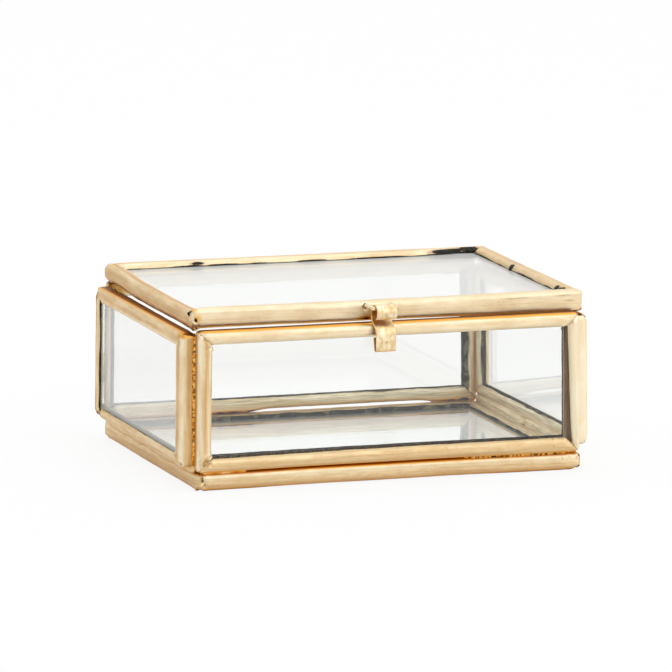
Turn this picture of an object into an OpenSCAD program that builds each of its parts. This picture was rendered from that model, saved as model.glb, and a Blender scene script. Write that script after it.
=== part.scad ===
// Glass casket box. Six panes are edged with folded brass strip. The four walls stand on the
// base frame and are soldered to it and to each other near the corners. The lid turns on two
// tube hinges at the rear, and a strip hasp swings on a wire staple in the lid's front strip.
// Millimetres. +X right, +Y to the rear, +Z up. The origin is under the middle of the whole
// object, hasp and hinges included, so the box itself stands a little to the rear of it.

/* [Glass] */
// Thickness of every pane
glass_t = 2; // [1.6:0.1:2.4]
// Space between the edge of a pane and the inside of its strip
glass_gap = 1.2; // [0.6:0.1:1.4]

/* [Brass strip] */
// Thickness of the sheet that the strips are folded from
sheet_t = 0.45; // [0.3:0.05:0.6]
// Width of a wall strip, from its outer edge to its lips
wall_strip_w = 3.7; // [3.4:0.1:5]
// Thickness of a wall strip, across the pane
wall_strip_t = 4.2; // [3.8:0.1:5]
// Width of a base strip
base_strip_w = 4; // [3.4:0.1:5]
// Thickness of a base strip
base_strip_t = 4.4; // [3.8:0.1:5]
// Width of a lid strip
lid_strip_w = 4.2; // [3.4:0.1:5]
// Thickness of a lid strip
lid_strip_t = 4.6; // [3.8:0.1:5]
// Radius of a strip's two long outer edges
edge_r = 1.4; // [1:0.1:1.6]
// Radius of the corners of each pane's frame
corner_r = 0.9; // [0.4:0.1:1.2]

/* [Box] */
// Length of the front and rear wall frames
front_w = 99.4; // [70:0.2:180]
// Length of the left and right wall frames
side_d = 68.4; // [50:0.2:140]
// Height of the front and rear wall frames
wall_h = 34.9; // [26:0.1:90]
// How much lower the side frames are, half of it above and half below
side_less = 2.2; // [0:0.1:2.6]
// How much shorter than the walls the base frame is, at each side
base_inset_x = 3.1; // [2:0.1:4]
// How much shallower than the walls the base frame is, at front and rear
base_inset_y = 1.4; // [0.8:0.1:2.4]
// Open seam under the wall frames
seam_gap = 0.25; // [0.1:0.05:0.4]

/* [Lid] */
// How much shorter than the walls the lid is, at each side
lid_inset_x = 2.4; // [1.5:0.1:4]
// How far the lid's rear edge stands in from the rear wall's outer face
lid_inset_rear = 2.6; // [2.4:0.1:3]
// How far the lid's front edge stands in from the front wall's outer face
lid_inset_front = 4; // [2.5:0.1:4.5]
// Gap between the closed lid and the wall strips
lid_gap = 0.3; // [0.3:0.05:0.8]

/* [Solder] */
// How far the middle of a bead stands out of the joint
bead_out = 0.4; // [0.2:0.05:0.6]
// How wide a bead spreads beyond the joint
bead_spread = 0.6; // [0.45:0.05:0.8]
// Length of the short seam beads at the front and rear
seam_run = 12; // [6:1:20]
// Length of the seam bead at the front right corner
seam_run_long = 29; // [12:1:32]
// Open length in the middle of each side's seam
seam_break = 3.6; // [2:0.2:30]

/* [Hinges] */
// Distance of each hinge from the middle of the box
hinge_x = 26; // [14:1:30]
// Length of one hinge tube
knuckle_l = 4.5; // [3:0.1:6]
// Outer radius of the hinge tubes
knuckle_r = 1.3; // [1.2:0.05:1.4]
// Radius of the hinge wires
pin_r = 0.6; // [0.5:0.05:0.7]
// Running clearance between a wire and its tubes
pin_fit = 0.05; // [0.02:0.01:0.1]
// Gap between neighbouring hinge tubes
knuckle_gap = 0.3; // [0.2:0.05:0.5]
// Clearance between a tube and the frame that moves past it
tube_clear = 0.3; // [0.25:0.05:0.4]

/* [Hasp] */
// Width of the hasp's strip
hasp_w = 5.2; // [4:0.1:10]
// Middle of the hasp, from the middle of the box
hasp_x = -2.9; // [-10:0.1:10]
// Thickness of the hasp's sheet
hasp_t = 0.45; // [0.35:0.05:0.5]
// Inner radius of the hasp's roll
roll_r = 1.5; // [1.3:0.05:1.6]
// How far the roll is closed, past its foremost point
roll_close = 75; // [50:1:80]
// Reach of the hasp below the middle of its roll
hasp_drop = 9.7; // [9.4:0.1:12]
// How far the roll stands back over the front wall
hasp_back = 1.1; // [0.8:0.05:1.2]
// Slope of the flap where it bows out round the wall strip
bow_slope = 57; // [54:1:60]
// Lean of the hook's tail
tail_lean = 13; // [10:1:16]
// Length of the hook's tail
tail_l = 2.9; // [2:0.1:3.2]
// Radius of the staple's wire
wire_r = 0.5; // [0.4:0.05:0.6]
// Height of the staple above the middle of the lid strip
staple_up = 1.2; // [0.8:0.05:1.2]
// Clearance between the hasp and the wall strip that it hangs before
hasp_clear = 0.15; // [0.1:0.05:0.3]

/* [Hidden] */
$fn = 64;
solder_fit = 0.03;      // thin joint between strips that are soldered side by side
solder_skin = 0.02;     // joint between solder and the strip it wets
wire_fit = 0.05;        // staple wire in the lid strip and in the hasp's roll
hasp_side = 0.2;        // hasp to staple leg
staple_bend = 0.8;      // bend radius of the staple, at the middle of the wire
leg_short = 0.3;        // staple leg to the lid pane's edge
pin_head_r = 0.95;      // peened end of a hinge wire
pin_head_t = 0.45;
saddle_half = 0.95;     // half width of the solder saddle under a hinge tube
saddle_bite = 0.5;      // how far a saddle laps onto the strip that carries it
hasp_rise = 0.6;        // straight part of the hasp below the middle of its roll
fold_r = 0.45;          // hook fold, at the middle of the sheet
bead_end = 1.5;         // a corner bead stops this far from the mitred corners
cut = 1;                // overrun of a cutting shape
eps = 0.05;

// The end faces of the side frames and the rear faces of the front frames meet on the
// diagonal of each corner, where their rounded edges touch.
corner_step = wall_strip_t / 2 - (2 - sqrt(2)) * edge_r + solder_fit;
side_x = front_w / 2 + corner_step;
front_y = side_d / 2 + corner_step;
wall_x = side_x + wall_strip_t / 2;
wall_y = front_y + wall_strip_t / 2;
wall_z = base_strip_t + seam_gap;
wall_mid = wall_z + wall_h / 2;
wall_top = wall_z + wall_h;
side_h = wall_h - side_less;
side_z = wall_mid - side_h / 2;
base_w = 2 * (wall_x - base_inset_x);
base_d = 2 * (wall_y - base_inset_y);
// Reach of the hasp before the front wall and of the hinges behind the rear one
roll_R = roll_r + hasp_t;
reach_front = 2 * roll_R - hasp_back;
reach_rear = max(0, tube_clear + 2 * knuckle_r - lid_inset_rear);
// Middle plane of the box between front and rear
mid_y = (reach_front - reach_rear) / 2;
lid_w = 2 * (wall_x - lid_inset_x);
lid_front = mid_y - wall_y + lid_inset_front;
lid_rear = mid_y + wall_y - lid_inset_rear;
lid_d = lid_rear - lid_front;
lid_y = (lid_rear + lid_front) / 2;
lid_mid = wall_top + lid_gap + lid_strip_t / 2;
// Middles of the rounded edges that the beads lie between
wall_core = wall_strip_t / 2 - edge_r;
base_edge = base_strip_t - edge_r;
// Hinge axis
hinge_y = lid_rear + tube_clear + knuckle_r;
hinge_z = wall_top + tube_clear + knuckle_r;
knuckle_step = knuckle_l + knuckle_gap;
// Hasp pivot, which is the middle of the staple's bar
roll_hang = roll_r - wire_r - wire_fit;
pivot_y = mid_y - wall_y + hasp_back - roll_R;
pivot_z = lid_mid + staple_up;
staple_x = hasp_w / 2 + hasp_side + wire_r;
// The flap bows out until its hook hangs clear before the wall strip
tail_reach = (fold_r + hasp_t / 2) * cos(tail_lean) + tail_l * sin(tail_lean);
hasp_bow = hasp_back + hasp_clear + fold_r - hasp_t / 2 + tail_reach;

// Sides of a frame that lies in the XY plane
FAR = 0;
LEFT = 1;
NEAR = 2;
RIGHT = 3;

// ---------------------------------------------------------------- looks
module brass() color("#D8B26A") children();
module solder() color("#B98B45") children();
module glass() color([0.86, 0.93, 0.92, 0.35]) children();

// ---------------------------------------------------------------- folded strip
// Section of a strip, outer edge on x = 0 and lips at x = -w, drawn in by in all round
module strip_outline(w, t, in = 0) {
    lip_r = (t - glass_t) / 2;
    for (s = [-1, 1]) {
        translate([-edge_r, s * (t / 2 - edge_r)]) circle(edge_r - in);
        translate([lip_r - w, s * glass_t / 2]) circle(lip_r - in);
    }
    translate([lip_r - w, in - t / 2]) square([w - lip_r - edge_r, t - 2 * in]);
    translate([in - w, -glass_t / 2]) square([lip_r - in, glass_t]);
    translate([-edge_r, edge_r - t / 2]) square([edge_r - in, t - 2 * edge_r]);
}

// The sheet itself: a hollow fold whose two lips close on the glass
module strip_section(w, t) {
    lip_r = (t - glass_t) / 2;
    difference() {
        strip_outline(w, t);
        strip_outline(w, t, sheet_t);
        translate([-w - cut, -glass_t / 2]) square([cut + lip_r, glass_t]);
    }
}

// What one strip covers of a frame: mitred ends and its half of each rounded corner
module mitre_outline(len, w) {
    reach = w + cut;
    difference() {
        polygon([
            [-len / 2 - cut, cut],
            [len / 2 + cut, cut],
            [len / 2 - reach, -reach],
            [reach - len / 2, -reach]
        ]);
        for (s = [-1, 1])
            mirror([s > 0 ? 0 : 1, 0])
                translate([len / 2 - corner_r, -corner_r])
                    difference() {
                        square(corner_r + cut + eps);
                        circle(corner_r);
                    }
    }
}

// A strip along X with its outer edge on y = 0
module strip(len, w, t) {
    intersection() {
        translate([-len / 2, 0, 0])
            rotate([90, 0, 90])
                linear_extrude(len) strip_section(w, t);
        linear_extrude(t + cut, center = true) mitre_outline(len, w);
    }
}

// One of the four strips round a frame of size len_x by len_y
module frame_strip(side, len_x, len_y, w, t) {
    across = side % 2 == 0;
    rotate([0, 0, 90 * side])
        translate([0, (across ? len_y : len_x) / 2, 0])
            strip(across ? len_x : len_y, w, t);
}

module pane(len_x, len_y) {
    in = 2 * (sheet_t + glass_gap);
    cube([len_x - in, len_y - in, glass_t], center = true);
}

// ---------------------------------------------------------------- places of the six frames
module on_front() translate([0, mid_y - front_y, wall_mid]) rotate([90, 0, 0]) children();
module on_rear() translate([0, mid_y + front_y, wall_mid]) rotate([90, 0, 180]) children();
module on_left() translate([-side_x, mid_y, wall_mid]) rotate([90, 0, -90]) children();
module on_right() translate([side_x, mid_y, wall_mid]) rotate([90, 0, 90]) children();
module on_base() translate([0, mid_y, base_strip_t / 2]) children();
module on_lid() translate([0, lid_y, lid_mid]) children();

module long_strip(side) frame_strip(side, front_w, wall_h, wall_strip_w, wall_strip_t);
module short_strip(side) frame_strip(side, side_d, side_h, wall_strip_w, wall_strip_t);
module base_strip(side) frame_strip(side, base_w, base_d, base_strip_w, base_strip_t);
module lid_strip(side) frame_strip(side, lid_w, lid_d, lid_strip_w, lid_strip_t);

module front_glass() glass() on_front() pane(front_w, wall_h);
module rear_glass() glass() on_rear() pane(front_w, wall_h);
module left_glass() glass() on_left() pane(side_d, side_h);
module right_glass() glass() on_right() pane(side_d, side_h);
module base_glass() glass() on_base() pane(base_w, base_d);
module lid_glass() glass() on_lid() pane(lid_w, lid_d);

module front_top_strip() brass() on_front() long_strip(FAR);
module front_bottom_strip() brass() on_front() long_strip(NEAR);
module front_left_strip() brass() on_front() long_strip(LEFT);
module front_right_strip() brass() on_front() long_strip(RIGHT);

module rear_top_strip() brass() on_rear() long_strip(FAR);
module rear_bottom_strip() brass() on_rear() long_strip(NEAR);
module rear_left_strip() brass() on_rear() long_strip(RIGHT);
module rear_right_strip() brass() on_rear() long_strip(LEFT);

module left_top_strip() brass() on_left() short_strip(FAR);
module left_bottom_strip() brass() on_left() short_strip(NEAR);
module left_front_strip() brass() on_left() short_strip(RIGHT);
module left_rear_strip() brass() on_left() short_strip(LEFT);

module right_top_strip() brass() on_right() short_strip(FAR);
module right_bottom_strip() brass() on_right() short_strip(NEAR);
module right_front_strip() brass() on_right() short_strip(LEFT);
module right_rear_strip() brass() on_right() short_strip(RIGHT);

module base_front_strip() brass() on_base() base_strip(NEAR);
module base_rear_strip() brass() on_base() base_strip(FAR);
module base_left_strip() brass() on_base() base_strip(LEFT);
module base_right_strip() brass() on_base() base_strip(RIGHT);

// The front strip of the lid is drilled for the staple's two legs
module lid_front_strip() brass()
    difference() {
        on_lid() lid_strip(NEAR);
        for (s = [-1, 1])
            translate([hasp_x + s * staple_x, lid_front - cut, pivot_z])
                rotate([-90, 0, 0])
                    cylinder(r = wire_r + wire_fit, h = cut + sheet_t + edge_r);
    }
module lid_rear_strip() brass() on_lid() lid_strip(FAR);
module lid_left_strip() brass() on_lid() lid_strip(LEFT);
module lid_right_strip() brass() on_lid() lid_strip(RIGHT);

// ---------------------------------------------------------------- solder
// Section of a bead in the groove between two round edges with middles a and b.
// It lies on the side that is to the left when looking from a to b.
module bead(a, b) {
    gap = norm(b - a);
    side = [a.y - b.y, b.x - a.x] / gap;
    translate((a + b) / 2 + bead_out * side) circle(gap / 2 - edge_r + bead_spread);
}

// The outline that solder keeps to on a wall strip
module wetted_wall() strip_outline(wall_strip_w, wall_strip_t, -solder_skin);

// Upright bead between the front and the left frame
module corner_bead()
    translate([0, 0, side_z + bead_end])
        linear_extrude(side_h - 2 * bead_end)
            difference() {
                bead(
                    [-side_x + wall_core, edge_r - side_d / 2],
                    [edge_r - front_w / 2, -front_y + wall_core]
                );
                translate([-front_w / 2, -front_y]) rotate(180) wetted_wall();
                translate([-side_x, -side_d / 2]) rotate(-90) wetted_wall();
            }

// Bead under a wall that stands at distance wall_at with its foot at height foot, on a base
// frame that ends at base_at. The section is drawn with the inside of the box to the left,
// and runs along X from 0.
module seam_bead(wall_at, foot, base_at, len)
    rotate([90, 0, 90])
        linear_extrude(len)
            difference() {
                bead([base_at - edge_r, base_edge], [wall_at + wall_core, foot + edge_r]);
                translate([wall_at, foot]) rotate(-90) wetted_wall();
                translate([base_at, base_strip_t / 2])
                    strip_outline(base_strip_w, base_strip_t, -solder_skin);
            }

// Seam beads start where the wall frame's rounded corner ends. Long seams are drawn at the
// rear left and side seams at the left front.
module long_seam(len)
    translate([edge_r - front_w / 2, 0, 0]) seam_bead(front_y, wall_z, base_d / 2, len);
module short_seam()
    rotate([0, 0, 90])
        translate([edge_r - side_d / 2, 0, 0])
            seam_bead(side_x, side_z, base_w / 2, (side_d - seam_break) / 2 - edge_r);

// Beads are drawn about the middle of the box, and 1 mirrors them across it
module mirrored(x, y) translate([0, mid_y, 0]) mirror([x, 0, 0]) mirror([0, y, 0]) children();

module corner_solder_front_left() solder() mirrored(0, 0) corner_bead();
module corner_solder_front_right() solder() mirrored(1, 0) corner_bead();
module corner_solder_rear_left() solder() mirrored(0, 1) corner_bead();
module corner_solder_rear_right() solder() mirrored(1, 1) corner_bead();

module front_seam_solder_left() solder() mirrored(0, 1) long_seam(seam_run);
module front_seam_solder_right() solder() mirrored(1, 1) long_seam(seam_run_long);
module rear_seam_solder_left() solder() mirrored(0, 0) long_seam(seam_run);
module rear_seam_solder_right() solder() mirrored(1, 0) long_seam(seam_run);

module left_seam_solder_front() solder() mirrored(0, 0) short_seam();
module left_seam_solder_rear() solder() mirrored(0, 1) short_seam();
module right_seam_solder_front() solder() mirrored(1, 0) short_seam();
module right_seam_solder_rear() solder() mirrored(1, 1) short_seam();

// ---------------------------------------------------------------- hinges
// Children are drawn in a section with x to the rear and y up, and run along X
module along_x(from, len)
    translate([from, 0, 0]) rotate([90, 0, 90]) linear_extrude(len) children();

// A tube with a saddle of solder onto the rear wall's top strip
module body_tube(from)
    difference() {
        union() {
            along_x(from, knuckle_l) translate([hinge_y, hinge_z]) circle(knuckle_r);
            along_x(from, knuckle_l)
                translate([hinge_y - saddle_half, wall_top - saddle_bite])
                    square([2 * saddle_half, saddle_bite + tube_clear + knuckle_r]);
        }
        along_x(from - cut, knuckle_l + 2 * cut)
            translate([hinge_y, hinge_z]) circle(pin_r + pin_fit);
        along_x(from - cut, knuckle_l + 2 * cut)
            translate([mid_y + front_y, wall_top]) rotate(90) wetted_wall();
    }

// A tube with a saddle of solder onto the lid's rear strip
module lid_tube(from)
    difference() {
        union() {
            along_x(from, knuckle_l) translate([hinge_y, hinge_z]) circle(knuckle_r);
            along_x(from, knuckle_l)
                translate([lid_rear - saddle_bite, hinge_z - saddle_half + eps])
                    square([saddle_bite + tube_clear + knuckle_r, 2 * saddle_half]);
        }
        along_x(from - cut, knuckle_l + 2 * cut)
            translate([hinge_y, hinge_z]) circle(pin_r + pin_fit);
        along_x(from - cut, knuckle_l + 2 * cut)
            translate([lid_rear, lid_mid]) strip_outline(lid_strip_w, lid_strip_t, -solder_skin);
    }

// The wire that a hinge turns on, with both ends peened
module hinge_wire(middle) {
    half = knuckle_step + knuckle_l / 2;
    along_x(middle - half - pin_head_t / 2, 2 * half + pin_head_t)
        translate([hinge_y, hinge_z]) circle(pin_r);
    for (s = [-1, 1])
        along_x(middle + s * (half + pin_head_t / 2) - pin_head_t / 2, pin_head_t)
            translate([hinge_y, hinge_z]) circle(pin_head_r);
}

// Left end of the tube that stands step places from the middle of a hinge
function tube_from(middle, step) = middle + step * knuckle_step - knuckle_l / 2;

module left_hinge_outer_tube() brass() body_tube(tube_from(-hinge_x, -1));
module left_hinge_lid_tube() brass() lid_tube(tube_from(-hinge_x, 0));
module left_hinge_inner_tube() brass() body_tube(tube_from(-hinge_x, 1));
module left_hinge_wire() brass() hinge_wire(-hinge_x);
module right_hinge_outer_tube() brass() body_tube(tube_from(hinge_x, 1));
module right_hinge_lid_tube() brass() lid_tube(tube_from(hinge_x, 0));
module right_hinge_inner_tube() brass() body_tube(tube_from(hinge_x, -1));
module right_hinge_wire() brass() hinge_wire(hinge_x);

// ---------------------------------------------------------------- hasp and staple
// A bar before the lid, bent back at both ends into the drilled front strip
module hasp_staple() brass() {
    bar = 2 * (staple_x - staple_bend);
    leg = lid_front + sheet_t + glass_gap - leg_short - pivot_y - staple_bend;
    translate([hasp_x, pivot_y, pivot_z]) {
        rotate([0, 90, 0]) cylinder(r = wire_r, h = bar, center = true);
        for (s = [0, 1])
            mirror([s, 0, 0]) {
                translate([bar / 2, staple_bend, 0])
                    rotate([0, 0, -90])
                        rotate_extrude(angle = 90)
                            translate([staple_bend, 0]) circle(wire_r);
                translate([staple_x, staple_bend, 0])
                    rotate([-90, 0, 0]) cylinder(r = wire_r, h = leg);
            }
    }
}

function arc(c, r, from, to, n = 12) =
    [for (i = [0:n]) let (a = from + (to - from) * i / n) c + r * [cos(a), sin(a)]];

// One face of the hasp's sheet below its roll, at distance e before the middle of the sheet.
// x is forward and y up from the middle of the roll.
function hasp_face(e) =
    let (
        u0 = hasp_t / 2 - roll_R,
        bow_r = hasp_bow / (2 * (1 - cos(bow_slope))),
        c1 = [u0 + bow_r, -hasp_rise],
        c2 = c1 - 2 * bow_r * [cos(bow_slope), sin(bow_slope)],
        c3 = [c2.x + bow_r - fold_r, fold_r + hasp_t / 2 - hasp_drop],
        turn = 180 - tail_lean,
        tail = c3 + (fold_r + e) * [cos(turn), -sin(turn)]
    )
    concat(
        [[u0 + e, eps]],
        arc(c1, bow_r - e, 180, 180 + bow_slope),
        arc(c2, bow_r + e, bow_slope, 0),
        arc(c3, fold_r + e, 0, -turn),
        [tail + tail_l * [-sin(tail_lean), cos(tail_lean)]]
    );

// One strip: open roll on the staple, bowed flap, and a hook folded back at the foot
module hasp() brass() {
    front = hasp_face(hasp_t / 2);
    back = hasp_face(-hasp_t / 2);
    open = arc([0, 0], 2 * roll_R, 180, 360 - roll_close, 3);
    translate([hasp_x - hasp_w / 2, pivot_y, pivot_z - roll_hang])
        rotate([90, 0, 90]) {
            linear_extrude(hasp_w)
                mirror([1, 0])
                    difference() {
                        circle(roll_R);
                        circle(roll_r);
                        polygon(concat([[0, 0]], open));
                    }
            linear_extrude(hasp_w)
                mirror([1, 0])
                    polygon(concat(front, [for (i = [len(back) - 1:-1:0]) back[i]]));
        }
}

// ---------------------------------------------------------------- the box
front_glass();
rear_glass();
left_glass();
right_glass();
base_glass();
lid_glass();
front_top_strip();
front_bottom_strip();
front_left_strip();
front_right_strip();
rear_top_strip();
rear_bottom_strip();
rear_left_strip();
rear_right_strip();
left_top_strip();
left_bottom_strip();
left_front_strip();
left_rear_strip();
right_top_strip();
right_bottom_strip();
right_front_strip();
right_rear_strip();
base_front_strip();
base_rear_strip();
base_left_strip();
base_right_strip();
lid_front_strip();
lid_rear_strip();
lid_left_strip();
lid_right_strip();
corner_solder_front_left();
corner_solder_front_right();
corner_solder_rear_left();
corner_solder_rear_right();
front_seam_solder_left();
front_seam_solder_right();
rear_seam_solder_left();
rear_seam_solder_right();
left_seam_solder_front();
left_seam_solder_rear();
right_seam_solder_front();
right_seam_solder_rear();
left_hinge_outer_tube();
left_hinge_lid_tube();
left_hinge_inner_tube();
left_hinge_wire();
right_hinge_outer_tube();
right_hinge_lid_tube();
right_hinge_inner_tube();
right_hinge_wire();
hasp_staple();
hasp();
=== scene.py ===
import math

import bpy
import numpy as np
from mathutils import Matrix, Vector, noise


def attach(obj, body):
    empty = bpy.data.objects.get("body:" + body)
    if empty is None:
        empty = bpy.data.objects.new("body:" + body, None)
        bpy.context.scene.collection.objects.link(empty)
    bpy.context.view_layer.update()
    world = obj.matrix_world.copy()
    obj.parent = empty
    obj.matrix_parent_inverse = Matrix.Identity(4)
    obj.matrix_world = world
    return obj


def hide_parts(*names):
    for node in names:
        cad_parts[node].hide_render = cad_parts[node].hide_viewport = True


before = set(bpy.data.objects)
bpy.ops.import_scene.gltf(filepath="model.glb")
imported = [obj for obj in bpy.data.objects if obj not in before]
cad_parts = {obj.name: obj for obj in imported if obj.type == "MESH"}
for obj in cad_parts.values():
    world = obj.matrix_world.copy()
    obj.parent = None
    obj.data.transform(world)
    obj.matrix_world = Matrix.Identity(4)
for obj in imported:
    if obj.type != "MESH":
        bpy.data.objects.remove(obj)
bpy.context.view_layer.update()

# Glass casket box: brass strips folded round glass, soldered corners, tube hinges and a hasp.
# Lengths below are millimetres, as in the CAD source, and become metres in make_mesh.
MM = 0.001

# ---- sizes, as part.scad gives them or works them out
GLASS_T, GLASS_GAP, SHEET = 2, 1.2, 0.45
WALL_W, WALL_T = 3.7, 4.2
BASE_W, BASE_T = 4, 4.4
LID_W, LID_T = 4.2, 4.6
EDGE_R, CORNER_R = 1.4, 0.9
FRONT_W, SIDE_D, WALL_H, SIDE_H = 99.4, 68.4, 34.9, 32.7
MID_Y = 1.25
SIDE_X, FRONT_Y = 51.0099, 35.5099
WALL_X, WALL_Y = 53.1099, 37.6099
WALL_Z, WALL_TOP, SIDE_Z = 4.65, 39.55, 5.75
WALL_MID = WALL_Z + WALL_H / 2
BASE_X, BASE_Y = 100.02, 72.42
LID_X = 101.42
LID_FRONT, LID_REAR, LID_MID = -32.3599, 36.2599, 42.15
LID_Y = LID_REAR - LID_FRONT
HINGE_Y, HINGE_Z, HINGE_X = 37.8599, 41.15, 26
KNUCKLE_L, KNUCKLE_R, KNUCKLE_STEP, PIN_R, PIN_FIT = 4.5, 1.3, 4.8, 0.6, 0.05
PIN_HEAD_R, PIN_HEAD_T = 0.95, 0.45
HASP_W, HASP_X, HASP_T = 5.2, -2.9, 0.45
ROLL_R, ROLL_CLOSE, HASP_DROP, HASP_BOW, BOW_SLOPE = 1.5, 75, 9.7, 2.785, 57
TAIL_LEAN, TAIL_L, HASP_RISE, FOLD_R = 13, 2.9, 0.6, 0.45
PIVOT_Y, PIVOT_Z, ROLL_HANG = -37.2099, 43.35, 0.95
WIRE_R, STAPLE_X, STAPLE_BEND = 0.5, 3.3, 0.8
SEAM_RUN, SEAM_RUN_LONG, SEAM_RUN_SIDE = 12, 29, 31


def new_object(name, data):
    made = bpy.data.objects.new(name, data)
    bpy.context.scene.collection.objects.link(made)
    return made


# ---- camera
AZIMUTH, ELEVATION, ROLL = math.radians(-19.86), math.radians(10.45), math.radians(0.73)
DISTANCE, FOCAL_PX, FRAME_PX, SENSOR = 2000, 8081, 672, 36
TARGET = Vector((-1.55, MID_Y, 29.55))

back = Vector((math.sin(AZIMUTH) * math.cos(ELEVATION), -math.cos(AZIMUTH) * math.cos(ELEVATION),
               math.sin(ELEVATION)))
right = (-back).cross(Vector((0, 0, 1))).normalized()
up = right.cross(-back)
right_r = right * math.cos(ROLL) + up * math.sin(ROLL)
up_r = up * math.cos(ROLL) - right * math.sin(ROLL)
cam_data = bpy.data.cameras.new("camera")
cam_data.sensor_width = SENSOR
cam_data.lens = FOCAL_PX / FRAME_PX * SENSOR
cam_data.clip_start, cam_data.clip_end = 0.05, 50
camera = new_object("camera", cam_data)
turn = Matrix((right_r, up_r, back)).transposed().to_4x4()
camera.matrix_world = Matrix.Translation((TARGET + back * DISTANCE) * MM) @ turn
bpy.context.scene.camera = camera


# ---- materials
class Nodes:
    """Short names for the nodes of one material or world."""

    def __init__(self, tree):
        self.tree = tree
        tree.nodes.clear()

    def add(self, kind, **sockets):
        node = self.tree.nodes.new("ShaderNode" + kind)
        for key, value in sockets.items():
            self.put(node, key, value)
        return node

    def put(self, node, key, value):
        """Link or set an input: key is its name, or _ and its number."""
        socket = node.inputs[int(key[1:])] if key[0] == "_" else node.inputs[key.replace("_", " ")]
        if isinstance(value, bpy.types.NodeSocket):
            self.tree.links.new(value, socket)
        elif isinstance(value, tuple) and len(value) == 3 and socket.type == "RGBA":
            socket.default_value = (*value, 1)
        else:
            socket.default_value = value

    def math(self, kind, a, b=0, clamp=False):
        node = self.add("Math", _0=a, _1=b)
        node.operation, node.use_clamp = kind, clamp
        return node.outputs[0]

    def times(self, a, b, clamp=False):
        return self.math("MULTIPLY", a, b, clamp)

    def seen(self, rays):
        """1 for what the camera sees, by itself or through glass."""
        return self.math("MAXIMUM", rays["Is Camera Ray"], rays["Is Transmission Ray"])

    def mix(self, fac, a, b):
        node = self.add("Mix")
        node.data_type = "RGBA"
        for key, value in (("_0", fac), ("_6", a), ("_7", b)):
            self.put(node, key, value)
        return node.outputs[2]

    def noise(self, vector, scale, detail=3, rough=0.55, distort=0):
        return self.add("TexNoise", Vector=vector, Scale=scale, Detail=detail, Roughness=rough,
                        Distortion=distort).outputs[0]

    def ramp(self, value, low, high, to_low=0, to_high=1):
        node = self.add("MapRange", Value=value, From_Min=low, From_Max=high, To_Min=to_low,
                        To_Max=to_high)
        node.interpolation_type = "SMOOTHSTEP"
        return node.outputs[0]

    def attribute(self, name, output="Fac"):
        node = self.add("Attribute")
        node.attribute_name = name
        return node.outputs[output]

    def stretched(self, vector, scale):
        return self.add("Mapping", Vector=vector, Scale=scale).outputs[0]


def new_material(name):
    material = bpy.data.materials.new(name)
    material.use_nodes = True
    return material, Nodes(material.node_tree)


# colours of painted highlight and of painted tan shade on the brass
HIGHLIGHT_BRASS, HIGHLIGHT_TAN, SHADE_TAN = (0.95, 0.86, 0.65), (0.9, 0.75, 0.5), (0.66, 0.43, 0.2)


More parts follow.
